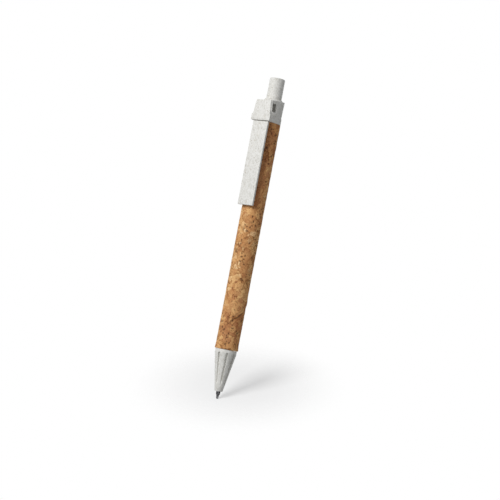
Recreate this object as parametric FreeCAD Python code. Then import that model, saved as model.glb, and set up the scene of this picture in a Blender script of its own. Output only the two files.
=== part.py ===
"""Retractable click ballpoint pen: cork-covered paper barrel, moulded nose, head, clip and button.

The pen stands along +Z with the writing ball's lowest point at the origin. The clip faces -Y, and the
clip's two snap windows open along +X and -X. It is drawn latched, with the writing tip out. Sizes: mm.
"""
import FreeCAD
import Part
import math
import os

os.makedirs("parts", exist_ok=True)

# Lengths along the pen
tip_out = 3.35            # metal point standing out of the nose when latched
nose_length = 17.95       # visible nose cone
barrel_length = 98.9      # cork-covered barrel
head_height = 8.95        # head above the barrel, at its front
button_out = 10.85        # button above the head's front edge when latched
clip_length = 36.65       # clip strip, from under the head to its free end

# Strokes
stroke_up = 4.8           # button and refill, from latched to retracted
stroke_down = 1.2         # overtravel that frees the latch
clip_lift = 4.0           # degrees that the clip springs away from the barrel

# Barrel layers
barrel_r = 4.9            # outside of the cork
cork_wall = 0.55
backing_wall = 0.15
ply_wall = 0.19
cork_end_round = 0.2

# Fits
glue_line = 0.01          # between bonded or pressed layers
running_gap = 0.05        # radial, between pieces that slide or turn in each other
face_gap = 0.05           # between end faces on different bodies
tooth_gap = 0.12          # axial, between the two crowns of cam teeth
stop_gap = 0.15           # left at the bottom of the button's stroke
clip_gap = 0.1            # round the clip's tongue
fusing_overlap = 0.2      # how far features run into the body that they are fused to
cut_margin = 1.0          # how far cutting tools run past the faces that they open

# Nose cone
nose_tip_r = 1.7
nose_slope = 0.178        # growth of radius per length
rim_r = 4.6
rim_height = 1.9
rim_bevel = 0.35
nose_hole_r = 1.2
spring_seat = 5.15        # from the nose's tip to the spring's seat
spring_bore_r = 1.85
nose_spigot = 8.0
groove_count = 8
groove_top = 1.15         # below the rim's top where the grooves start
groove_length = 12.8
groove_r_top = 0.55       # half the groove's width at its round upper end
groove_r_low = 0.3
groove_depth_top = 0.85
groove_depth_low = 0.25
groove_turn = -3.0        # degrees that the nose sits turned in the barrel
insert_wall = 0.5
insert_length = 9.0

# Refill
ball_r = 0.35
ball_play = 0.02
point_r_low = 0.46
point_r_high = 0.58
point_length = 1.7
point_step = 0.4
neck_r_low = 0.84
neck_r_high = 0.95
tip_r = 1.1
tip_taper = 1.6           # from the nose's mouth up to the tip's full radius
tip_body_top = 9.6
shank_r = 0.7
shank_length = 3.4
ink_path_r = 0.3
holder_r = 1.12
holder_path_r = 0.45
holder_collar_r = 1.8
holder_collar_height = 1.5
refill_r = 1.5
refill_wall = 0.4
holder_spigot = 6.0
ink_top = 80.0
grease_length = 4.0

# Return spring
spring_length = 14.0      # compressed to the latched position
spring_r = 1.42           # centre of the wire
wire_r = 0.15
spring_turns = 9          # open coils between the two closed ones
coil_gap = 0.02           # between the wires of a closed coil

# Click mechanism
web_height = 4.3          # floor of the button's well in the head, above the sleeve
well_depth = 7.5          # below the head's front edge
well_gap = 0.08           # radial, round the button in its well
spigot_wall = 0.55
spigot_length = 12.8      # head's spigot inside the paper tube
sleeve_length = 20.0
sleeve_wall = 0.4
rib_depth = 0.45
rib_width = 2.0
rib_count = 4
key_side_gap = 0.15
rotor_skirt = 2.9         # sleeve below its guide ribs
rotor_length = 8.6
rotor_rib_length = 6.4
rotor_rib_drop = 0.2      # ribs start this far under the rotor's teeth
rotor_socket = 4.0
tooth_pairs = 4
tooth_depth = 0.8
tooth_width = 1.2
pilot_r = 1.2
pilot_length = 4.5
pilot_bore = 7.0
key_length = 9.0
stem_in_button = 11.0

# Push button
button_r = 3.32
button_round = 0.35

# Head and clip
head_collar_height = 2.95
head_collar_half_width = 4.7
head_collar_front = 7.55
head_collar_bevel = 0.35
block_half_low = 4.25
block_half_top = 3.5
block_front = 7.35
block_back_low = 4.7      # radius of the block's round back, at the collar
block_back_top = 4.95
head_top_slope = 6.6      # degrees that the head's top rises towards the back
boss_height = 1.7         # cone round the button, above the head's front edge
boss_foot_r = 4.9         # its radius at the level of that edge
boss_top_r = 3.7
cheek_rise = 0.45         # raised pad on each side wall, round the clip's window
cheek_length = 7.9
cheek_front_flank = 0.72
cheek_rear_flank = 0.6
cheek_low_flank = 0.35
cheek_r = 6.1             # round lower edge of the pad
cheek_centre_back = 5.1   # its centre behind the block's front corner
cheek_centre_up = 5.45    # and above the collar
clip_half_width = 3.8
clip_front = 6.85
clip_thickness = 1.1
clip_round = 0.2
lip_gap = 0.25            # between the clip's top and the head
tongue_half_width = 2.1
tongue_thickness = 1.1
tongue_setback = 0.5      # behind the clip's front face
tongue_length = 8.3
window_front = 6.4
window_rear = 3.7
window_low = 4.2          # above the barrel
window_height = 3.7
hollow_half_width = 3.9   # hollow behind the side walls, where the clip's lugs snap in
hollow_rear = 3.1
lug_length = 0.6          # snap lug beyond the tongue's side
lug_thickness = 0.75
lug_height = 1.7
lug_sill = 0.15
pivot_rise = 0.7          # flexing line above the head's underside
nub_height = 0.55
nub_r = 1.1
nub_up = 3.0              # nub's centre above the clip's free end

# Levels worked out from the lengths
nose_mouth_z = tip_out
barrel_z = nose_mouth_z + nose_length
head_z = barrel_z + barrel_length
head_top_z = head_z + head_height
pen_top_z = head_top_z + button_out
clip_end_z = head_z - lip_gap - clip_length
well_floor_z = head_top_z - well_depth
web_z = well_floor_z - web_height
sleeve_z = web_z - sleeve_length
rib_low_z = sleeve_z + rotor_skirt
seat_z = nose_mouth_z + spring_seat
holder_collar_z = seat_z + spring_length
tube_z = holder_collar_z + holder_collar_height
rotor_top_z = rib_low_z - face_gap + rotor_rib_drop
rotor_z = rotor_top_z - rotor_length
tube_top_z = rotor_z + rotor_socket - face_gap
crown_z = rotor_top_z + tooth_gap
key_top_z = web_z - stroke_up - stop_gap
button_z = well_floor_z + stroke_down + stop_gap
pivot_z = head_z + pivot_rise
tongue_top_z = head_z - lip_gap + tongue_length
lug_z = head_z + window_low + lug_sill
window_top_z = head_z + window_low + window_height

# Radii worked out from the layers and fits
backing_r = barrel_r - cork_wall - glue_line
outer_ply_r = backing_r - backing_wall - glue_line
middle_ply_r = outer_ply_r - ply_wall - glue_line
inner_ply_r = middle_ply_r - ply_wall - glue_line
tube_bore_r = inner_ply_r - ply_wall
spigot_r = tube_bore_r - glue_line
sleeve_r = spigot_r - spigot_wall - glue_line
sleeve_bore_r = sleeve_r - sleeve_wall
guide_r = sleeve_bore_r - rib_depth
stem_r = guide_r - running_gap
key_r = sleeve_bore_r - running_gap
well_r = button_r + well_gap
insert_bore_r = spigot_r - insert_wall
nose_spigot_r = insert_bore_r - running_gap
refill_bore_r = refill_r - refill_wall

# Room for the clip to spring away from the barrel, worked out from its swing about the flexing line
swing = math.sin(math.radians(clip_lift))
tongue_front = clip_front - tongue_setback
tongue_rear = tongue_front - tongue_thickness
lug_front = window_front - clip_gap
lug_rear = lug_front - lug_thickness
pocket_rear = tongue_rear - swing * (tongue_top_z - pivot_z) - clip_gap

UP = FreeCAD.Vector(0, 0, 1)


def vec(x, y, z):
    return FreeCAD.Vector(x, y, z)


def rod(radius, low, high):
    return Part.makeCylinder(radius, high - low, vec(0, 0, low))


def tube(outer, inner, low, high):
    return rod(outer, low, high).cut(rod(inner, low - cut_margin, high + cut_margin))


def box(x0, x1, y0, y1, z0, z1):
    return Part.makeBox(x1 - x0, y1 - y0, z1 - z0, vec(x0, y0, z0))


def turned(profile):
    """A solid of revolution about the pen's axis from (radius, height) corners."""
    corners = [vec(r, 0, z) for r, z in profile]
    face = Part.Face(Part.makePolygon(corners + corners[:1]))
    return face.revolve(vec(0, 0, 0), UP, 360)


def around(shape, count, first=0.0, span=360.0):
    """Copies of a shape spaced evenly about the pen's axis."""
    copies = []
    for i in range(count):
        one = shape.copy()
        one.rotate(vec(0, 0, 0), UP, first + span * i / count)
        copies.append(one)
    return copies


def tooth_notches(edge_z, deep):
    """V notches in the end of a rod. Each runs through the axis, so half a turn holds them all."""
    left = vec(-tooth_width / 2, -barrel_r, edge_z)
    right = vec(tooth_width / 2, -barrel_r, edge_z)
    point = vec(0, -barrel_r, edge_z + deep)
    face = Part.Face(Part.makePolygon([left, right, point, left]))
    notch = face.extrude(vec(0, 2 * barrel_r, 0))
    return Part.makeCompound(around(notch, tooth_pairs, 90.0 / tooth_pairs, 180.0))


def guide_rib(inner, outer, low, high, width):
    """One straight rib or key on the +X side, between two radii."""
    bar = box(0, outer + cut_margin, -width / 2, width / 2, low, high)
    return bar.common(tube(outer, inner, low, high))


def wall_direction(radius, half_width, front):
    """Level direction square to the head's right side wall, which is tangent to its round back."""
    reach = math.hypot(half_width, front)
    side = math.atan2(half_width, front) + math.acos(radius / reach)
    return vec(math.sin(side), -math.cos(side), 0)


def section(radius, half_width, front, z):
    """Plan of the head: round behind, with straight sides that run to a flat front face."""
    touch = wall_direction(radius, half_width, front) * radius + vec(0, 0, z)
    mirror = vec(-touch.x, touch.y, z)
    right = vec(half_width, -front, z)
    left = vec(-half_width, -front, z)
    back = Part.Arc(touch, vec(0, radius, z), mirror).toShape()
    sides = [Part.makeLine(mirror, left), Part.makeLine(left, right), Part.makeLine(right, touch)]
    return Part.Wire([back] + sides)


def save(shape, node):
    shape.exportStep("parts/" + node + ".step")


# ---- barrel ----

def cork_wrap():
    body = tube(barrel_r, barrel_r - cork_wall, barrel_z + face_gap, head_z)
    rims = [e for e in body.Edges if e.Length > 2 * math.pi * (barrel_r - cork_wall / 2)
            and e.BoundBox.ZLength < cork_end_round]
    return body.makeFillet(cork_end_round, rims)


def barrel_layer(outer, wall):
    return tube(outer, outer - wall, barrel_z + face_gap, head_z)


def front_insert():
    """Bush bonded into the paper tube, which the nose's spigot pushes into."""
    return tube(spigot_r, insert_bore_r, barrel_z + face_gap, barrel_z + insert_length)


# ---- nose ----

def nose_cone():
    low = nose_mouth_z
    rim_z = barrel_z - rim_height
    rim_low_r = nose_tip_r + nose_slope * (rim_z - rim_bevel - low)
    body = turned([
        (nose_hole_r, low), (nose_tip_r, low), (rim_low_r, rim_z - rim_bevel), (rim_r, rim_z),
        (rim_r, barrel_z), (nose_spigot_r, barrel_z), (nose_spigot_r, barrel_z + nose_spigot),
        (spring_bore_r, barrel_z + nose_spigot), (spring_bore_r, seat_z), (nose_hole_r, seat_z)])
    grooves = around(groove_cutter(low), groove_count, groove_turn - 90.0)
    return body.cut(Part.makeCompound(grooves))


def groove_cutter(low):
    """A flat-floored groove down the +X side, round at its upper end and shallower lower down."""
    top_z = barrel_z - groove_top - groove_r_top
    low_z = top_z - groove_length
    start = vec(nose_tip_r + nose_slope * (top_z - low) - groove_depth_top, 0, top_z)
    end = vec(nose_tip_r + nose_slope * (low_z - low) - groove_depth_low, 0, low_z)
    down = (end - start).normalize()
    side = vec(0, 1, 0)
    crown = start - down * groove_r_top
    right, left = start + side * groove_r_top, start - side * groove_r_top
    low_right, low_left = end + side * groove_r_low, end - side * groove_r_low
    outline = [Part.Arc(left, crown, right).toShape(), Part.makeLine(right, low_right),
               Part.makeLine(low_right, low_left), Part.makeLine(low_left, left)]
    return Part.Face(Part.Wire(outline)).extrude(down.cross(side) * rim_r)


# ---- refill ----

def writing_ball():
    return Part.makeSphere(ball_r, vec(0, 0, ball_r))


def refill_tip():
    lip = ball_r - ball_play
    step = lip + point_length - point_step
    body = turned([
        (0, lip), (point_r_low, lip), (point_r_high, step), (neck_r_low, step + point_step),
        (neck_r_high, nose_mouth_z), (tip_r, nose_mouth_z + tip_taper), (tip_r, tip_body_top),
        (shank_r, tip_body_top), (shank_r, tip_body_top + shank_length), (0, tip_body_top + shank_length)])
    socket = Part.makeSphere(ball_r + ball_play, vec(0, 0, ball_r))
    return body.cut(socket).cut(rod(ink_path_r, ball_r, tip_body_top + shank_length + cut_margin))


def tip_holder():
    """Plastic holder between the metal point and the ink tube; the spring pushes on its collar."""
    shank_bore = shank_r + glue_line
    shank_top = tip_body_top + shank_length + glue_line
    return turned([
        (shank_bore, tip_body_top + glue_line), (holder_r, tip_body_top + glue_line),
        (holder_r, holder_collar_z), (holder_collar_r, holder_collar_z),
        (holder_collar_r, tube_z - glue_line), (refill_bore_r - glue_line, tube_z - glue_line),
        (refill_bore_r - glue_line, tube_z + holder_spigot), (holder_path_r, tube_z + holder_spigot),
        (holder_path_r, shank_top), (shank_bore, shank_top)])


def refill_tube():
    return tube(refill_r, refill_bore_r, tube_z, tube_top_z)


def ink_column():
    """Ink down the holder's narrow path and up the tube to the follower."""
    low = tip_body_top + shank_length + 2 * glue_line
    wide_z = tube_z + holder_spigot + glue_line
    wide_r = refill_bore_r - glue_line
    narrow_r = holder_path_r - glue_line
    return turned([(0, low), (narrow_r, low), (narrow_r, wide_z), (wide_r, wide_z),
                   (wide_r, ink_top), (0, ink_top)])


def follower_grease():
    return rod(refill_bore_r - glue_line, ink_top + glue_line, ink_top + grease_length)


def return_spring():
    """Compression spring from the nose's seat to the holder's collar, with a closed coil at each end."""
    closed = 2 * wire_r + coil_gap
    rise = spring_length - 2 * wire_r
    active = rise - 2 * closed
    first = Part.makeHelix(closed, closed, spring_r)
    middle = Part.makeHelix(active / spring_turns, active, spring_r)
    middle.translate(vec(0, 0, closed))
    last = Part.makeHelix(closed, closed, spring_r)
    last.translate(vec(0, 0, rise - closed))
    path = Part.Wire(first.Edges + middle.Edges + last.Edges)
    slope = math.atan(closed / (2 * math.pi * spring_r))
    wire = Part.makeCircle(wire_r, vec(spring_r, 0, 0), vec(0, math.cos(slope), math.sin(slope)))
    coil = path.makePipeShell([Part.Wire(wire)], True, True)
    coil.translate(vec(0, 0, seat_z + wire_r))
    return coil


# ---- click mechanism ----

def cam_sleeve():
    """Fixed guide: straight grooves for the keys, between ribs whose lower ends catch the rotor."""
    body = tube(sleeve_r, sleeve_bore_r, sleeve_z, web_z)
    rib = guide_rib(guide_r, sleeve_bore_r + fusing_overlap, rib_low_z, web_z, rib_width)
    ribs = around(rib, rib_count, 180.0 / rib_count)
    return body.fuse(ribs).removeSplitter()


def groove_key_width():
    """Width of a key that clears the guide ribs on both sides."""
    room = 2 * guide_r * math.sin(math.pi / rib_count)
    return room - rib_width - 2 * key_side_gap


def cam_rotor():
    body = rod(stem_r, rotor_z, rotor_top_z)
    ribs_top = rotor_top_z - rotor_rib_drop
    ribs_low = ribs_top - rotor_rib_length
    rib = guide_rib(stem_r - fusing_overlap, key_r, ribs_low, ribs_top, groove_key_width())
    body = body.fuse(around(rib, rib_count))
    body = body.cut(tooth_notches(rotor_top_z, -tooth_depth))
    body = body.fuse(rod(pilot_r, rotor_top_z - tooth_depth, rotor_top_z + pilot_length))
    socket = rod(refill_r + running_gap, rotor_z - cut_margin, rotor_z + rotor_socket)
    return body.cut(socket).removeSplitter()


def plunger_crown():
    """Stem that the button presses; its keys stop it under the head's web."""
    body = rod(stem_r, crown_z, button_z + stem_in_button)
    key_z = key_top_z - key_length
    key = guide_rib(stem_r - fusing_overlap, key_r, key_z, key_top_z, groove_key_width())
    body = body.fuse(around(key, rib_count))
    body = body.cut(tooth_notches(crown_z, tooth_depth))
    bore = rod(pilot_r + running_gap, crown_z - cut_margin, crown_z + pilot_bore)
    return body.cut(bore).removeSplitter()


def push_button():
    body = rod(button_r, button_z, pen_top_z)
    top = [e for e in body.Edges if abs(e.BoundBox.ZMin - pen_top_z) < glue_line]
    body = body.makeFillet(button_round, top)
    socket_top = button_z + stem_in_button + glue_line
    return body.cut(rod(stem_r + glue_line, button_z - cut_margin, socket_top))


# ---- head and clip ----

def clip_head():
    collar_top = head_z + head_collar_height
    bevel_z = collar_top - head_collar_bevel
    boss_top_z = head_top_z + boss_height
    low = section(barrel_r, head_collar_half_width, head_collar_front, head_z)
    edge = section(barrel_r, head_collar_half_width, head_collar_front, bevel_z)
    waist = section(block_back_low, block_half_low, block_front, collar_top)
    top = section(block_back_top, block_half_top, block_front, boss_top_z)
    collar = Part.makeLoft([low, edge], True, True)
    slope = Part.makeLoft([edge, waist], True, True)
    block = Part.makeLoft([waist, top], True, True)
    body = collar.fuse([slope, block] + cheeks(collar_top)).cut(above_head(boss_top_z))
    body = body.fuse(rod(spigot_r, head_z - spigot_length, head_z + fusing_overlap))
    body = body.cut(rod(sleeve_r + glue_line, head_z - spigot_length - cut_margin, web_z))
    body = body.cut(rod(guide_r, web_z - cut_margin, well_floor_z + cut_margin))
    body = body.cut(rod(well_r, well_floor_z, boss_top_z + cut_margin))
    return body.cut(clip_pocket()).removeSplitter()


def above_head(boss_top_z):
    """Room over the head: its top rises from the front edge to the back, with a cone round the button."""
    space = box(-2 * block_front, 2 * block_front, -2 * block_front, 2 * block_front,
                head_top_z, head_top_z + block_front)
    space.rotate(vec(0, -block_front, head_top_z), vec(1, 0, 0), head_top_slope)
    cone = Part.makeCone(boss_foot_r, boss_top_r, boss_height, vec(0, 0, boss_top_z - boss_height))
    return space.cut(cone)


def cheeks(collar_top):
    """A raised pad on each side wall, with sloping flanks and a round lower edge."""
    half_width = (block_half_low + block_half_top) / 2
    radius = (block_back_low + block_back_top) / 2
    low = vec(block_half_low, -block_front, collar_top)
    high = vec(block_half_top, -block_front, head_top_z)
    touch = wall_direction(radius, half_width, block_front) * radius + vec(0, 0, (low.z + high.z) / 2)
    out = (touch - low).cross(high - low)
    out.normalize()
    along = UP.cross(out)
    along.normalize()
    up = out.cross(along)
    top = (high - low).Length + boss_height

    def outline(rise, front, rear):
        corners = [(front, -head_collar_height), (cheek_length - rear, -head_collar_height),
                   (cheek_length - rear, top), (front, top)]
        points = [low + along * a + up * b + out * rise for a, b in corners]
        return Part.makePolygon(points + points[:1])

    centre = low + along * cheek_centre_back + up * cheek_centre_up
    root = Part.makeLoft([outline(-cut_margin, 0, 0), outline(0, 0, 0)], True, True)
    root = root.common(Part.makeCylinder(cheek_r, cut_margin, centre - out * cut_margin, out))
    face = outline(cheek_rise, cheek_front_flank, cheek_rear_flank)
    pad = Part.makeLoft([outline(0, 0, 0), face], True, True)
    pad = pad.common(Part.makeCone(cheek_r, cheek_r - cheek_low_flank, cheek_rise, centre, out))
    right = root.fuse(pad)
    return [right, right.mirror(vec(0, 0, 0), vec(1, 0, 0))]


def both_sides(x0, x1, y0, y1, z0, z1):
    """The same box on the +X and -X sides."""
    return [box(x0, x1, y0, y1, z0, z1), box(-x1, -x0, y0, y1, z0, z1)]


def clip_pocket():
    """Pocket for the clip's tongue, with a hollow and a side window for each of its snap lugs."""
    half = tongue_half_width + clip_gap
    front = tongue_front + clip_gap
    low = head_z + window_low
    outside = barrel_r + cut_margin
    pocket = box(-half, half, -front, -pocket_rear, head_z - cut_margin, tongue_top_z + clip_gap)
    windows = both_sides(half, outside, -window_front, -window_rear, low, window_top_z)
    hollows = both_sides(half, hollow_half_width, -window_front, -hollow_rear, low, window_top_z)
    return pocket.fuse(windows + hollows)


def clip_strip():
    top = head_z - lip_gap
    back = clip_front - clip_thickness
    strip = box(-clip_half_width, clip_half_width, -clip_front, -back, clip_end_z, top)
    strip = strip.makeFillet(clip_round, strip.Edges)
    nub_root = vec(0, -back - fusing_overlap, clip_end_z + nub_up)
    nub = Part.makeCylinder(nub_r, nub_height + fusing_overlap, nub_root, vec(0, 1, 0))
    tongue = box(-tongue_half_width, tongue_half_width, -tongue_front, -tongue_rear,
                 top - clip_thickness, tongue_top_z)
    lug_root = tongue_half_width - fusing_overlap
    lugs = both_sides(lug_root, tongue_half_width + lug_length, -lug_front, -lug_rear,
                      lug_z, lug_z + lug_height)
    return strip.fuse([nub, tongue] + lugs).removeSplitter()


save(cork_wrap(), "cork_wrap")
save(barrel_layer(backing_r, backing_wall), "cork_backing")
save(barrel_layer(outer_ply_r, ply_wall), "tube_outer_ply")
save(barrel_layer(middle_ply_r, ply_wall), "tube_middle_ply")
save(barrel_layer(inner_ply_r, ply_wall), "tube_inner_ply")
save(front_insert(), "front_insert")
save(nose_cone(), "nose_cone")
save(writing_ball(), "writing_ball")
save(refill_tip(), "refill_tip")
save(tip_holder(), "tip_holder")
save(refill_tube(), "refill_tube")
save(ink_column(), "ink_column")
save(follower_grease(), "follower_grease")
save(return_spring(), "return_spring")
save(cam_sleeve(), "cam_sleeve")
save(cam_rotor(), "cam_rotor")
save(plunger_crown(), "plunger_crown")
save(push_button(), "push_button")
save(clip_head(), "clip_head")
save(clip_strip(), "clip_strip")
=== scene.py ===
"""Retractable click ballpoint pen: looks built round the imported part, in metres and in its frame."""
import math

import bpy
import numpy as np
from mathutils import Matrix, Vector


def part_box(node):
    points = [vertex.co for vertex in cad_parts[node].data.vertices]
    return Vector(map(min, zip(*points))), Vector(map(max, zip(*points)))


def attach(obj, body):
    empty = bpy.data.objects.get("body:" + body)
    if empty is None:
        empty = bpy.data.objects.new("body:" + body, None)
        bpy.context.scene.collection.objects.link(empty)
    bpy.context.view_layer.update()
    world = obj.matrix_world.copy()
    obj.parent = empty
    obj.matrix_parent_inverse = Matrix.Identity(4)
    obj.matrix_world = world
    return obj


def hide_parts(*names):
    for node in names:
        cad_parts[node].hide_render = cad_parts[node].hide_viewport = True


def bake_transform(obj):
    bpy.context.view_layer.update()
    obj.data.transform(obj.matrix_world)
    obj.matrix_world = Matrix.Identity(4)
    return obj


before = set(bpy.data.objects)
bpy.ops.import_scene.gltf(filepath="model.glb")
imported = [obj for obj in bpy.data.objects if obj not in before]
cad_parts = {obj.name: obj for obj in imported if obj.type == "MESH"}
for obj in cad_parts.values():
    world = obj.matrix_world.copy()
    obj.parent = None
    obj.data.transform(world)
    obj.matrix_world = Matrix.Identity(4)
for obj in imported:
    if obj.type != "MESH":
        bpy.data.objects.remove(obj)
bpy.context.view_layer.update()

# ---- Camera, lights and floor ----
# The pen is seen from its clip side, a little from below, and leans to the right of the picture. The
# floor is a small white sheet through the writing point, tilted to the picture's own upright. One large
# soft lamp stands high on the left, with a weak one low on the right and a pale room all round.

bpy.context.scene.view_settings.view_transform = "Standard"

view_azimuth = math.radians(34.0)
view_below = math.radians(4.4)
view_distance = 0.65
view_roll = math.radians(10.74)
view_middle = Vector((0, 0, 0.070))
view_aim = Vector((0.00145, 0.00145, 0.06510))
view_lens = 109.1

to_camera = Vector((math.sin(view_azimuth) * math.cos(view_below),
                    -math.cos(view_azimuth) * math.cos(view_below),
                    -math.sin(view_below)))
camera_data = bpy.data.cameras.new("camera")
camera = bpy.data.objects.new("camera", camera_data)
bpy.context.collection.objects.link(camera)
camera.location = view_middle + view_distance * to_camera
camera_data.lens = view_lens
camera_data.clip_start = 0.01
camera_turn = (view_aim - camera.location).to_track_quat("-Z", "Y")
camera_turn = camera_turn @ Matrix.Rotation(view_roll, 3, "Z").to_quaternion()
camera.rotation_mode = "QUATERNION"
camera.rotation_quaternion = camera_turn
bpy.context.scene.camera = camera
picture_right = camera_turn @ Vector((1, 0, 0))
picture_up = camera_turn @ Vector((0, 1, 0))
picture_back = camera_turn @ Vector((0, 0, 1))


def lamp(name, right, up, back, size, power):
    """A square soft light aimed at the pen's middle, placed by the picture's own directions."""
    data = bpy.data.lights.new(name, "AREA")
    data.size = size
    data.energy = power
    light = bpy.data.objects.new(name, data)
    bpy.context.collection.objects.link(light)
    light.location = view_middle + picture_right * right + picture_up * up + picture_back * back
    aim = view_middle - light.location
    light.rotation_mode = "QUATERNION"
    light.rotation_quaternion = aim.to_track_quat("-Z", "Y")


lamp("key_light", -0.45, 0.40, 0.47, 0.32, 4.4)
lamp("fill_light", 0.52, -0.22, 0.38, 0.40, 0.50)

# A black card stands on the right, where only reflections show it.
bpy.ops.object.select_all(action="DESELECT")
bpy.ops.mesh.primitive_plane_add(size=1)
card = bpy.context.object
card.name = "black_card"
card_distance = 0.42
card_size = (0.85, 0.95)
card_place = view_middle + picture_right * card_distance
card_turn = (card_place - view_middle).to_track_quat("Z", "Y").to_matrix().to_4x4()
card.data.transform(Matrix.Translation(card_place) @ card_turn @ Matrix.Diagonal((*card_size, 1, 1)))
card_paint = bpy.data.materials.new("black_card")
card_paint.use_nodes = True
card_shader = card_paint.node_tree.nodes["Principled BSDF"]
card_shader.inputs["Base Color"].default_value = (0.01, 0.01, 0.01, 1)
card_shader.inputs["Roughness"].default_value = 1.0
card.data.materials.append(card_paint)
card.visible_camera = False
card.visible_diffuse = False
card.visible_shadow = False


def node(tree, kind, inputs, **settings):
    """Adds a shader node; an input is given a value, or another node's output to follow."""
    made = tree.nodes.new("ShaderNode" + kind)
    for name, value in settings.items():
        setattr(made, name, value)
    for name, value in inputs.items():
        if isinstance(value, bpy.types.NodeSocket):
            tree.links.new(value, made.inputs[name])
        else:
            made.inputs[name].default_value = value
    return made


# Straight to the camera, in reflections and through clear pieces the room is plain white. It lights
# matt surfaces only weakly.
world = bpy.data.worlds.new("studio")
bpy.context.scene.world = world
world.use_nodes = True
sky = world.node_tree
sky.nodes.clear()
rays = node(sky, "LightPath", {})
seen = node(sky, "Math", {0: rays.outputs["Is Camera Ray"], 1: rays.outputs["Is Glossy Ray"]},
            operation="MAXIMUM")
seen = node(sky, "Math", {0: seen.outputs[0], 1: rays.outputs["Is Transmission Ray"]},
            operation="MAXIMUM")
room = node(sky, "Background", {"Color": (0.96, 0.98, 1.0, 1), "Strength": 0.28})
backdrop = node(sky, "Background", {"Color": (1, 1, 1, 1), "Strength": 1.0})
sky_mix = node(sky, "MixShader", {"Fac": seen.outputs[0], 1: room.outputs[0], 2: backdrop.outputs[0]})
node(sky, "OutputWorld", {"Surface": sky_mix.outputs[0]})

# The floor fades out round a middle that lies a little behind the point and to its right. A weak glow,
# seen by the camera alone, lifts its grey to a pale white.
floor_tilt = math.radians(20)
floor_radius = 0.10
floor_grey = 0.43
floor_lift = 0.53
fade_from, fade_to = 0.010, 0.050
floor_normal = picture_up * math.cos(floor_tilt) + picture_back * math.sin(floor_tilt)
floor_rear = picture_back.cross(floor_normal).cross(floor_normal).normalized()
floor_middle = picture_right * 0.008 + floor_rear * 0.014
bpy.ops.object.select_all(action="DESELECT")
bpy.ops.mesh.primitive_circle_add(vertices=96, radius=floor_radius, fill_type="NGON")
floor = bpy.context.object
floor.name = "floor"
floor.data.transform(floor_normal.to_track_quat("Z", "Y").to_matrix().to_4x4())

floor_paint = bpy.data.materials.new("white_floor")
floor_paint.use_nodes = True
tree = floor_paint.node_tree
tree.nodes.clear()
place = node(tree, "TexCoord", {})
about = node(tree, "VectorMath", {0: place.outputs["Object"], 1: floor_middle}, operation="DISTANCE")
edge = node(tree, "MapRange", {"Value": about.outputs["Value"], "From Min": fade_from,
                               "From Max": fade_to}, interpolation_type="SMOOTHSTEP")
behind = node(tree, "NewGeometry", {})
hidden = node(tree, "Math", {0: edge.outputs[0], 1: behind.outputs["Backfacing"]}, operation="MAXIMUM")
rays = node(tree, "LightPath", {})
lift = node(tree, "Math", {0: rays.outputs["Is Camera Ray"], 1: floor_lift}, operation="MULTIPLY")
matte = node(tree, "BsdfDiffuse", {"Color": (floor_grey, floor_grey, floor_grey, 1)})
glow = node(tree, "Emission", {"Color": (1, 1, 1, 1), "Strength": lift.outputs[0]})
lit = node(tree, "AddShader", {0: matte.outputs[0], 1: glow.outputs[0]})
clear = node(tree, "BsdfTransparent", {})
sheet = node(tree, "MixShader", {"Fac": hidden.outputs[0], 1: lit.outputs[0], 2: clear.outputs[0]})
node(tree, "OutputMaterial", {"Surface": sheet.outputs[0]})
floor.data.materials.append(floor_paint)


# ---- Rolled paper tube ----
# The barrel's core is three plies of kraft paper wound on a mandrel and glued, with a thin cloth backing
# that carries the cork. The plies show only as rings at the barrel's open end when the nose is out.

def new_material(name):
    """An empty material and its tree, ready for one shader."""
    made = bpy.data.materials.new(name)
    made.use_nodes = True
    made.node_tree.nodes.clear()
    return made, made.node_tree


def finish_material(tree, inputs):
    """The material's one shader, joined to its output."""
    shader = node(tree, "BsdfPrincipled", inputs)
    node(tree, "OutputMaterial", {"Surface": shader.outputs[0]})


def pattern(tree, stretch, **inputs):
    """A noise on the piece's own coordinates, in millimetres, drawn out by the stretch given."""
    place = node(tree, "TexCoord", {})
    sized = node(tree, "Mapping", {"Vector": place.outputs["Object"],
                                   "Scale": [1000 / s for s in stretch]})
    named = {key.replace("_", " "): value for key, value in inputs.items()}
    return node(tree, "TexNoise", {"Vector": sized.outputs[0], **named}).outputs[0]


def ramp(tree, factor, stops):
    """Colours along a factor, from (position, colour) stops."""
    made = node(tree, "ValToRGB", {"Fac": factor})
    while len(made.color_ramp.elements) < len(stops):
        made.color_ramp.elements.new(0.5)
    for element, (position, colour) in zip(made.color_ramp.elements, stops):
        element.position = position
        element.color = (*colour, 1)
    return made.outputs[0]


def mix_colour(tree, factor, low, high, how="MIX"):
    """Mixes two colours by a factor; a plain colour is given as three numbers."""
    made = tree.nodes.new("ShaderNodeMix")
    made.data_type = "RGBA"
    made.blend_type = how
    for socket, value in ((made.inputs[0], factor), (made.inputs[6], low), (made.inputs[7], high)):
        if isinstance(value, bpy.types.NodeSocket):
            tree.links.new(value, socket)
        elif isinstance(value, tuple):
            socket.default_value = (*value, 1)
        else:
            socket.default_value = value
    return made.outputs[2]


def bump(tree, height, distance):
    """Relief from a height pattern, with its full depth in metres."""
    return node(tree, "Bump", {"Height": height, "Distance": distance, "Strength": 1.0}).outputs[0]


def dress(name, paint):
    """Gives a CAD node a material on every slot."""
    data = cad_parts[name].data
    data.materials.clear()
    data.materials.append(paint)


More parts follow.
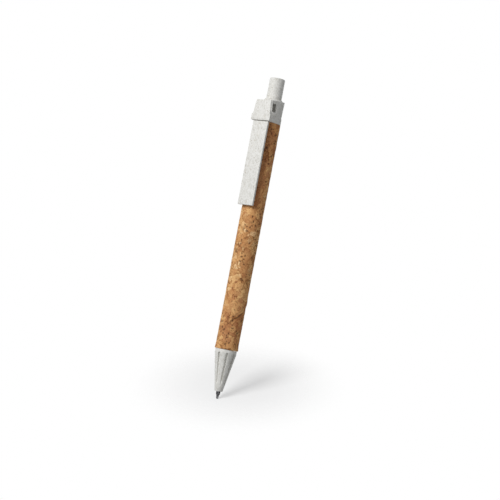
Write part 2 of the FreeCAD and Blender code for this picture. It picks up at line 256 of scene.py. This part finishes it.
kraft, tree = new_material("kraft_paper")
fibres = pattern(tree, (0.35, 0.35, 1.6), Scale=1.0, Detail=4.0, Roughness=0.6)
tone = ramp(tree, fibres, [(0.3, (0.30, 0.20, 0.115)), (0.55, (0.42, 0.30, 0.18)),
                           (0.75, (0.52, 0.39, 0.25))])
finish_material(tree, {"Base Color": tone, "Roughness": 0.85, "Normal": bump(tree, fibres, 0.00003)})
for name in ("tube_outer_ply", "tube_middle_ply", "tube_inner_ply"):
    dress(name, kraft)

backing, tree = new_material("woven_backing")
thread = pattern(tree, (0.25, 0.25, 0.25), Scale=1.0, Detail=1.0)
tone = ramp(tree, thread, [(0.35, (0.48, 0.40, 0.29)), (0.65, (0.66, 0.58, 0.45))])
finish_material(tree, {"Base Color": tone, "Roughness": 0.9, "Normal": bump(tree, thread, 0.00003)})
dress("cork_backing", backing)

# ---- Cork cover ----
# A sheet of pressed cork granules is wound round the tube in a steep spiral and glued down. Its free
# edge laps a little over the turn below, and its lower rim swells slightly where it was trimmed.

cork_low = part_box("cork_wrap")[0].z
cork_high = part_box("cork_wrap")[1].z
cork_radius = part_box("cork_wrap")[1].x
cork_wall = 0.00055
seam_pitch = 0.034
seam_level = 0.0424       # height of the seam where it crosses the right-hand outline
seam_angle = math.radians(34)
seam_middle = 0.0385      # height where the seam stands out most
seam_reach = 0.0052
lap_height = 0.00026
lap_edge = 0.00045        # how steeply the lap's free edge drops
lap_slope = 0.0022        # how slowly it sinks back on the other side
flare_height = 0.00016
flare_length = 0.0030
rim_round = 0.0003
rim_drop = 0.00018
granules = 1100
granule_smallest, granule_largest = 0.5, 1.5    # against the average
granule_slant = 0.6       # radians from level, give or take as much again
granule_wave, granule_wander = 0.0022, 0.00016
granule_draw_most = 0.62  # how far the most elongated granules are drawn out; 1 would be endless
granule_reach = 0.0045
granule_lift_most = 0.000035
crease_width = 0.00030
crease_depth = 0.00005
pit_clusters = 120
pits_in_cluster = 4
pit_spread = 0.0016
pit_smallest, pit_largest = 0.00018, 0.00046
pit_reach = 0.0015
pit_depth = 0.00020
clip_end = 0.083

bpy.ops.object.select_all(action="DESELECT")
bpy.ops.mesh.primitive_cylinder_add(vertices=160, radius=cork_radius, depth=cork_high - cork_low,
                                    end_fill_type="NOTHING", location=(0, 0, (cork_low + cork_high) / 2))
cork = bpy.context.object
cork.name = "cork_cover"
bpy.ops.object.transform_apply(location=True)


def select_edges(piece, chosen):
    """Selects just these edges of a mesh, by number, ready for edit mode."""
    mesh = piece.data
    for parts, wanted in ((mesh.vertices, []), (mesh.edges, chosen), (mesh.polygons, [])):
        flags = np.zeros(len(parts), bool)
        flags[wanted] = True
        parts.foreach_set("select", flags)


def on_outside(corner):
    """Whether a corner of the mesh lies on the cork's outer face."""
    return corner.xy.length > cork_radius - cork_wall / 2


# The rims turn in to the tube at both ends and the inner face joins them. Two rounds of cuts then part
# the outside into 440 rows, each less than a quarter of a millimetre high.
for end in (cork_low, cork_high):
    corners = [v.co for v in cork.data.vertices]
    rim = [e.index for e in cork.data.edges
           if all(abs(corners[i].z - end) < 1e-6 and on_outside(corners[i]) for i in e.vertices)]
    select_edges(cork, rim)
    bpy.ops.object.mode_set(mode="EDIT")
    bpy.ops.mesh.select_mode(type="EDGE")
    bpy.ops.mesh.extrude_edges_move()
    inward = 1 - cork_wall / cork_radius
    bpy.ops.transform.resize(value=(inward, inward, 1), center_override=(0, 0, end))
    bpy.ops.object.mode_set(mode="OBJECT")
corners = [v.co for v in cork.data.vertices]
inner = [e.index for e in cork.data.edges if not any(on_outside(corners[i]) for i in e.vertices)]
select_edges(cork, inner)
bpy.ops.object.mode_set(mode="EDIT")
bpy.ops.mesh.bridge_edge_loops()
bpy.ops.mesh.select_all(action="SELECT")
bpy.ops.mesh.normals_make_consistent(inside=False)
bpy.ops.object.mode_set(mode="OBJECT")
for cuts in (19, 21):
    corners = [v.co for v in cork.data.vertices]
    staves = [e.index for e in cork.data.edges
              if abs(corners[e.vertices[0]].z - corners[e.vertices[1]].z) > 0.001
              and on_outside(corners[e.vertices[0]])]
    select_edges(cork, staves)
    bpy.ops.object.mode_set(mode="EDIT")
    bpy.ops.mesh.subdivide(number_cuts=cuts)
    bpy.ops.object.mode_set(mode="OBJECT")

# Pressed granules of mixed sizes stand a little apart, with open pits between some of them.
count = len(cork.data.vertices)
points = np.empty(count * 3)
cork.data.vertices.foreach_get("co", points)
points = points.reshape(-1, 3)
radius = np.hypot(points[:, 0], points[:, 1])
outside = radius > cork_radius - cork_wall / 4
skin = points[outside]
height = skin[:, 2]
angle = np.arctan2(skin[:, 1], skin[:, 0])
chance = np.random.default_rng(7)


def on_barrel(turn, level):
    """Places on the barrel's outside from their angle and height."""
    return np.stack([cork_radius * np.cos(turn), cork_radius * np.sin(turn), level], 1)


def hump(values, middle, width, power=2):
    """One at the middle, falling smoothly to nothing beyond the width."""
    return np.exp(-((values - middle) / width) ** power)


def warped(places, size, amount):
    """The same places pushed about by a few long waves, so that edges between granules wander."""
    moved = places.copy()
    for wave in range(6):
        direction = chance.normal(size=3)
        direction *= chance.uniform(0.6, 1.4) * 2 * math.pi / size / np.linalg.norm(direction)
        push = chance.normal(size=3)
        push *= amount / np.linalg.norm(push)
        moved += np.sin(places @ direction + chance.uniform(0, 6.3))[:, None] * push
    return moved


granule_turn = chance.uniform(-math.pi, math.pi, granules)
granule_at = on_barrel(granule_turn, chance.uniform(cork_low, cork_high, granules))
granule_size = chance.uniform(granule_smallest, granule_largest, granules)
slant = chance.normal(granule_slant, granule_slant, granules)
granule_lie = np.stack([-np.sin(granule_turn) * np.cos(slant), np.cos(granule_turn) * np.cos(slant),
                        np.sin(slant)], 1)
granule_draw = chance.uniform(0.0, granule_draw_most, granules)
bent = warped(skin, granule_wave, granule_wander)
nearest = np.full(len(skin), 9.0)
second = np.full(len(skin), 9.0)
owner = np.zeros(len(skin), int)
for i, (place, size, lie, draw) in enumerate(zip(granule_at, granule_size, granule_lie, granule_draw)):
    near = np.abs(height - place[2]) < granule_reach
    offset = bent[near] - place
    reach = np.linalg.norm(offset - draw * (offset @ lie)[:, None] * lie, axis=1) / size
    first, after, who = nearest[near], second[near], owner[near]
    closer = reach < first
    nearest[near] = np.where(closer, reach, first)
    second[near] = np.where(closer, first, np.minimum(after, reach))
    owner[near] = np.where(closer, i, who)
crease = np.clip(1 - (second - nearest) / crease_width, 0, 1) * chance.uniform(0, 1, granules)[owner]

# The sheet's tone shifts with height, paler half way up and darker near the nose. Low on the left, on
# the side the key lamp lights, it is paler as painted light, and beside the clip it is darker as painted
# shadow of the clip.
half_way_up = 0.070
lit_side = -math.radians(128)
clip_shadow_side = -math.radians(48)
tone_shift_and_painted_light = 0.20 * np.cos((height - half_way_up) * 70) - 0.06 - 0.15 * hump(height, 0.031, 0.006)
# Painted light: the lower barrel is made paler on its lit left side.
tone_shift_and_painted_light += 0.45 * np.clip(np.cos(angle - lit_side), 0, 1) ** 2 * hump(height, 0.034, 0.010)
# Painted shadow: the cork beside the clip, above the clip's end, is made darker.
tone_shift_and_painted_light -= 0.6 * hump(angle, clip_shadow_side, 0.30) / (1 + np.exp((clip_end - height) / 0.0008))
granule_tone_with_painted_light = np.clip(chance.uniform(0, 1, granules)[owner] + tone_shift_and_painted_light, 0, 1)
granule_lift = chance.uniform(-1, 1, granules)[owner]

pit = np.zeros(len(skin))
pits = pit_clusters * pits_in_cluster
cluster_turn = np.repeat(chance.uniform(-math.pi, math.pi, pit_clusters), pits_in_cluster)
cluster_level = np.repeat(chance.uniform(cork_low, cork_high, pit_clusters), pits_in_cluster)
pit_turn = cluster_turn + chance.normal(0, pit_spread, pits) / cork_radius
for place in on_barrel(pit_turn, cluster_level + chance.normal(0, pit_spread, pits)):
    size = chance.uniform(pit_smallest, pit_largest)
    along = chance.normal(size=3)
    along /= np.linalg.norm(along)
    near = np.abs(height - place[2]) < pit_reach
    offset = skin[near] - place
    offset -= 0.45 * (offset @ along)[:, None] * along
    pit[near] = np.maximum(pit[near], np.clip(1.15 - np.linalg.norm(offset, axis=1) / size, 0, 1))

# The seam winds up the barrel with a slight wander. Painted shade darkens a line just below its free
# edge, and a fainter line of painted shade above it marks where the sheet climbs over the turn beneath.
seam_wander = 0.0004 * np.sin(height * 700) + 0.0002 * np.sin(height * 2300 + 1)
above = (height + seam_wander - seam_level - seam_pitch * (angle - seam_angle) / math.tau) % seam_pitch
above = np.where(above > seam_pitch / 2, above - seam_pitch, above)
showing = 0.25 + 0.75 * hump(height, seam_middle, seam_reach, 4)
lap = showing * np.where(above > 0, hump(above, 0, lap_slope), hump(above, 0, lap_edge))
seam_painted_shade = showing * (hump(above, -0.00055, 0.00042) + 0.6 * hump(above, 0.0015, 0.00045))

rise = lap_height * lap + granule_lift_most * granule_lift - crease_depth * crease - pit_depth * pit
flare = np.clip(1 - (height - cork_low) / flare_length, 0, 1)
rise += flare_height * flare * flare * (3 - 2 * flare)
rounding = np.clip(1 - np.minimum(height - cork_low, cork_high - height) / rim_round, 0, 1)
rise -= rim_drop * (1 - np.sqrt(1 - rounding ** 2))
skin[:, :2] *= (1 + rise / cork_radius)[:, None]
points[outside] = skin
cork.data.vertices.foreach_set("co", points.ravel())
for name, values in (("granule_with_painted_light", granule_tone_with_painted_light), ("crease", crease), ("pit", pit), ("painted_seam_shade", seam_painted_shade)):
    held = np.zeros(count)
    held[outside] = values
    cork.data.attributes.new(name, "FLOAT", "POINT").data.foreach_set("value", held.astype(np.float32))
bpy.ops.object.shade_smooth_by_angle(angle=math.radians(50))

cork_paint, tree = new_material("pressed_cork")


def painted(name):
    """One of the cork's own attributes, as a factor."""
    return node(tree, "Attribute", {}, attribute_name=name).outputs["Fac"]


# The granule tone also carries the painted light and painted shadow added to it above.
tone = ramp(tree, painted("granule_with_painted_light"),
            [(0.0, (0.58, 0.285, 0.125)), (0.35, (0.74, 0.42, 0.180)), (0.8, (0.86, 0.54, 0.240)),
             (1.0, (0.96, 0.68, 0.37))])
clouds = ramp(tree, pattern(tree, (1, 1, 1.6), Scale=0.20, Detail=3.0, Roughness=0.6),
              [(0.36, (0.82, 0.69, 0.62)), (0.62, (1.0, 1.0, 1.0))])
tone = mix_colour(tree, 1.0, tone, clouds, "MULTIPLY")
grain = ramp(tree, pattern(tree, (1, 1, 1), Scale=1.6, Detail=6.0, Roughness=0.75, Distortion=0.8),
             [(0.36, (0.58, 0.46, 0.38)), (0.50, (0.94, 0.91, 0.88)), (0.66, (1.16, 1.15, 1.12))])
tone = mix_colour(tree, 0.9, tone, grain, "MULTIPLY")
creases = ramp(tree, painted("crease"), [(0.15, (1, 1, 1)), (0.8, (0.42, 0.30, 0.22))])
tone = mix_colour(tree, 1.0, tone, creases, "MULTIPLY")
flecks = ramp(tree, pattern(tree, (1, 1, 1), Scale=1.25, Detail=3.0, Roughness=0.55),
              [(0.645, (0, 0, 0)), (0.70, (1, 1, 1))])
tone = mix_colour(tree, flecks, tone, (0.15, 0.060, 0.024))
# Painted shade along the seam's lap edge and crease.
tone = mix_colour(tree, painted("painted_seam_shade"), tone, (0.15, 0.065, 0.028))
tone = mix_colour(tree, painted("pit"), tone, (0.080, 0.034, 0.016))
relief = pattern(tree, (1, 1, 1), Scale=3.0, Detail=5.0, Roughness=0.7)
finish_material(tree, {"Base Color": tone, "Roughness": 0.85, "Specular IOR Level": 0.2,
                       "Normal": bump(tree, relief, 0.00007)})
cork.data.materials.append(cork_paint)
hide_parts("cork_wrap")
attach(cork, "barrel")

# ---- Head, clip, nose and button ----
# All four are moulded in plastic filled with ground straw, which leaves a warm pale grey full of fine
# darker specks and short fibres. Their edges come out of the mould slightly rounded.


weld_distance = 0.000002
flat_angle = math.radians(0.6)
corner_angle = math.radians(32)
smooth_angle = math.radians(35)


def moulded_copy(name, node_name, softening):
    """A merged copy of a CAD node, with its sharp edges rounded by the softening given."""
    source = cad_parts[node_name]
    bpy.ops.object.select_all(action="DESELECT")
    piece = bpy.data.objects.new(name, source.data.copy())
    bpy.context.collection.objects.link(piece)
    piece.data.materials.clear()
    piece.select_set(True)
    bpy.context.view_layer.objects.active = piece
    if piece.data.has_custom_normals:
        bpy.ops.mesh.customdata_custom_splitnormals_clear()
    bpy.ops.object.mode_set(mode="EDIT")
    bpy.ops.mesh.select_all(action="SELECT")
    bpy.ops.mesh.remove_doubles(threshold=weld_distance)
    bpy.ops.mesh.dissolve_limited(angle_limit=flat_angle)
    bpy.ops.mesh.normals_make_consistent(inside=False)
    bpy.ops.object.mode_set(mode="OBJECT")
    rounding = piece.modifiers.new("rounding", "BEVEL")
    rounding.width = softening
    rounding.segments = 2
    rounding.limit_method = "ANGLE"
    rounding.angle_limit = corner_angle
    rounding.harden_normals = False
    bpy.ops.object.modifier_apply(modifier=rounding.name)
    bpy.ops.object.shade_smooth_by_angle(angle=smooth_angle)
    return piece


straw_plastic, tree = new_material("straw_filled_plastic")
mottle = pattern(tree, (1, 1, 1), Scale=0.45, Detail=3.0)
tone = ramp(tree, mottle, [(0.35, (0.735, 0.725, 0.690)), (0.65, (0.805, 0.795, 0.765))])
fine = ramp(tree, pattern(tree, (1, 1, 1.3), Scale=1.5, Detail=5.0, Roughness=0.7),
            [(0.34, (0.80, 0.79, 0.76)), (0.56, (1.02, 1.02, 1.02))])
tone = mix_colour(tree, 1.0, tone, fine, "MULTIPLY")
specks = ramp(tree, pattern(tree, (1, 1, 1), Scale=1.7, Detail=2.0),
              [(0.66, (0, 0, 0)), (0.72, (1, 1, 1))])
tone = mix_colour(tree, specks, tone, (0.42, 0.38, 0.31))
husks = ramp(tree, pattern(tree, (0.45, 0.45, 2.2), Scale=1.0, Detail=2.0),
             [(0.66, (0, 0, 0)), (0.72, (1, 1, 1))])
tone = mix_colour(tree, husks, tone, (0.56, 0.51, 0.41))
relief = pattern(tree, (1, 1, 1), Scale=2.0, Detail=4.0)
finish_material(tree, {"Base Color": tone, "Roughness": 0.52, "Specular IOR Level": 0.35,
                       "Normal": bump(tree, relief, 0.00003)})

head = moulded_copy("clip_head_moulding", "clip_head", 0.00008)
head.data.materials.append(straw_plastic)
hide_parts("clip_head")
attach(head, "barrel")

clip = moulded_copy("clip_blade", "clip_strip", 0.00006)
clip.data.materials.append(straw_plastic)
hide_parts("clip_strip")
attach(clip, "clip")

nose = moulded_copy("grooved_nose", "nose_cone", 0.00007)
nose.data.materials.append(straw_plastic)
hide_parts("nose_cone")
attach(nose, "nose")

button = moulded_copy("round_button", "push_button", 0.00005)
button.data.materials.append(straw_plastic)
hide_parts("push_button")
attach(button, "button")

# ---- Refill ----
# A translucent plastic tube of ink with a pressed plastic holder, which carries a turned metal point and
# its tungsten carbide ball. Only the point shows when the pen is latched.

steel, tree = new_material("nickel_silver_with_painted_light")
rings = pattern(tree, (2.2, 2.2, 0.9), Scale=1.0, Detail=3.0)
# The thin end is a painted highlight, lighter than the body above it, which is darker as painted shade.
level = node(tree, "SeparateXYZ", {"Vector": node(tree, "TexCoord", {}).outputs["Object"]})
painted_highlight_by_height = node(tree, "MapRange", {"Value": level.outputs["Z"], "From Min": 0.0012, "From Max": 0.0024,
                                   "To Min": 0.10, "To Max": -0.06})
rings_and_painted_highlight = node(tree, "Math", {0: rings, 1: painted_highlight_by_height.outputs[0]}, operation="ADD")
# The dark tone, down to near black in the rings, is painted reflection of dark surroundings on the
# metal.
tone = ramp(tree, rings_and_painted_highlight.outputs[0], [(0.42, (0.02, 0.02, 0.023)), (0.68, (0.34, 0.34, 0.35))])
finish_material(tree, {"Base Color": tone, "Metallic": 1.0, "Roughness": 0.12,
                       "Normal": bump(tree, rings, 0.000004)})
point = moulded_copy("turned_point", "refill_tip", 0.00003)
point.data.materials.append(steel)
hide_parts("refill_tip")
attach(point, "refill")

carbide, tree = new_material("carbide_ball")
grain = pattern(tree, (0.05, 0.05, 0.05), Scale=1.0, Detail=2.0)
tone = ramp(tree, grain, [(0.3, (0.30, 0.30, 0.31)), (0.7, (0.46, 0.46, 0.47))])
finish_material(tree, {"Base Color": tone, "Metallic": 1.0, "Roughness": 0.25,
                       "Normal": bump(tree, grain, 0.000002)})
dress("writing_ball", carbide)


def plain_plastic(name, low, high, roughness):
    """A moulded or drawn plastic with a faint clouding and a fine skin."""
    made, tree = new_material(name)
    cloud = pattern(tree, (1.5, 1.5, 3.0), Scale=1.0, Detail=3.0)
    skin = pattern(tree, (0.3, 0.3, 0.3), Scale=1.0, Detail=3.0)
    tone = ramp(tree, cloud, [(0.35, low), (0.65, high)])
    finish_material(tree, {"Base Color": tone, "Roughness": roughness,
                           "Normal": bump(tree, skin, 0.000008)})
    return made


dress("refill_tube", plain_plastic("refill_tube_plastic", (0.62, 0.64, 0.64), (0.74, 0.76, 0.76), 0.30))
dress("tip_holder", plain_plastic("tip_holder_plastic", (0.70, 0.70, 0.68), (0.80, 0.80, 0.78), 0.35))
dress("ink_column", plain_plastic("blue_ink", (0.008, 0.012, 0.09), (0.014, 0.022, 0.14), 0.12))
dress("follower_grease", plain_plastic("follower_grease", (0.62, 0.56, 0.36), (0.72, 0.66, 0.45), 0.2))

# ---- Return spring ----
# A coil of drawn steel wire round the point holder, closed at both ends, from its seat above the nose's
# hole up to the collar of the refill that it pushes up. The copy stays where it was imported and follows
# neither.

drawn_wire, tree = new_material("drawn_spring_wire")
lines = pattern(tree, (0.12, 0.12, 0.12), Scale=1.0, Detail=3.0)
tone = ramp(tree, lines, [(0.3, (0.42, 0.42, 0.43)), (0.7, (0.62, 0.62, 0.63))])
finish_material(tree, {"Base Color": tone, "Metallic": 1.0, "Roughness": 0.3,
                       "Normal": bump(tree, lines, 0.000003)})
spring = moulded_copy("return_coil", "return_spring", 0.00001)
spring.data.materials.append(drawn_wire)
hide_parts("return_spring")
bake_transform(spring)

# ---- Click mechanism ----
# A guide sleeve, a turning cam and the button's toothed stem, each moulded in plain grey plastic and
# pushed up the barrel from above. The nose's bush is the same plastic, bonded into the paper tube.

mechanism = plain_plastic("grey_mechanism_plastic", (0.34, 0.34, 0.33), (0.42, 0.42, 0.41), 0.4)
for name in ("front_insert", "cam_sleeve", "cam_rotor", "plunger_crown"):
    dress(name, mechanism)
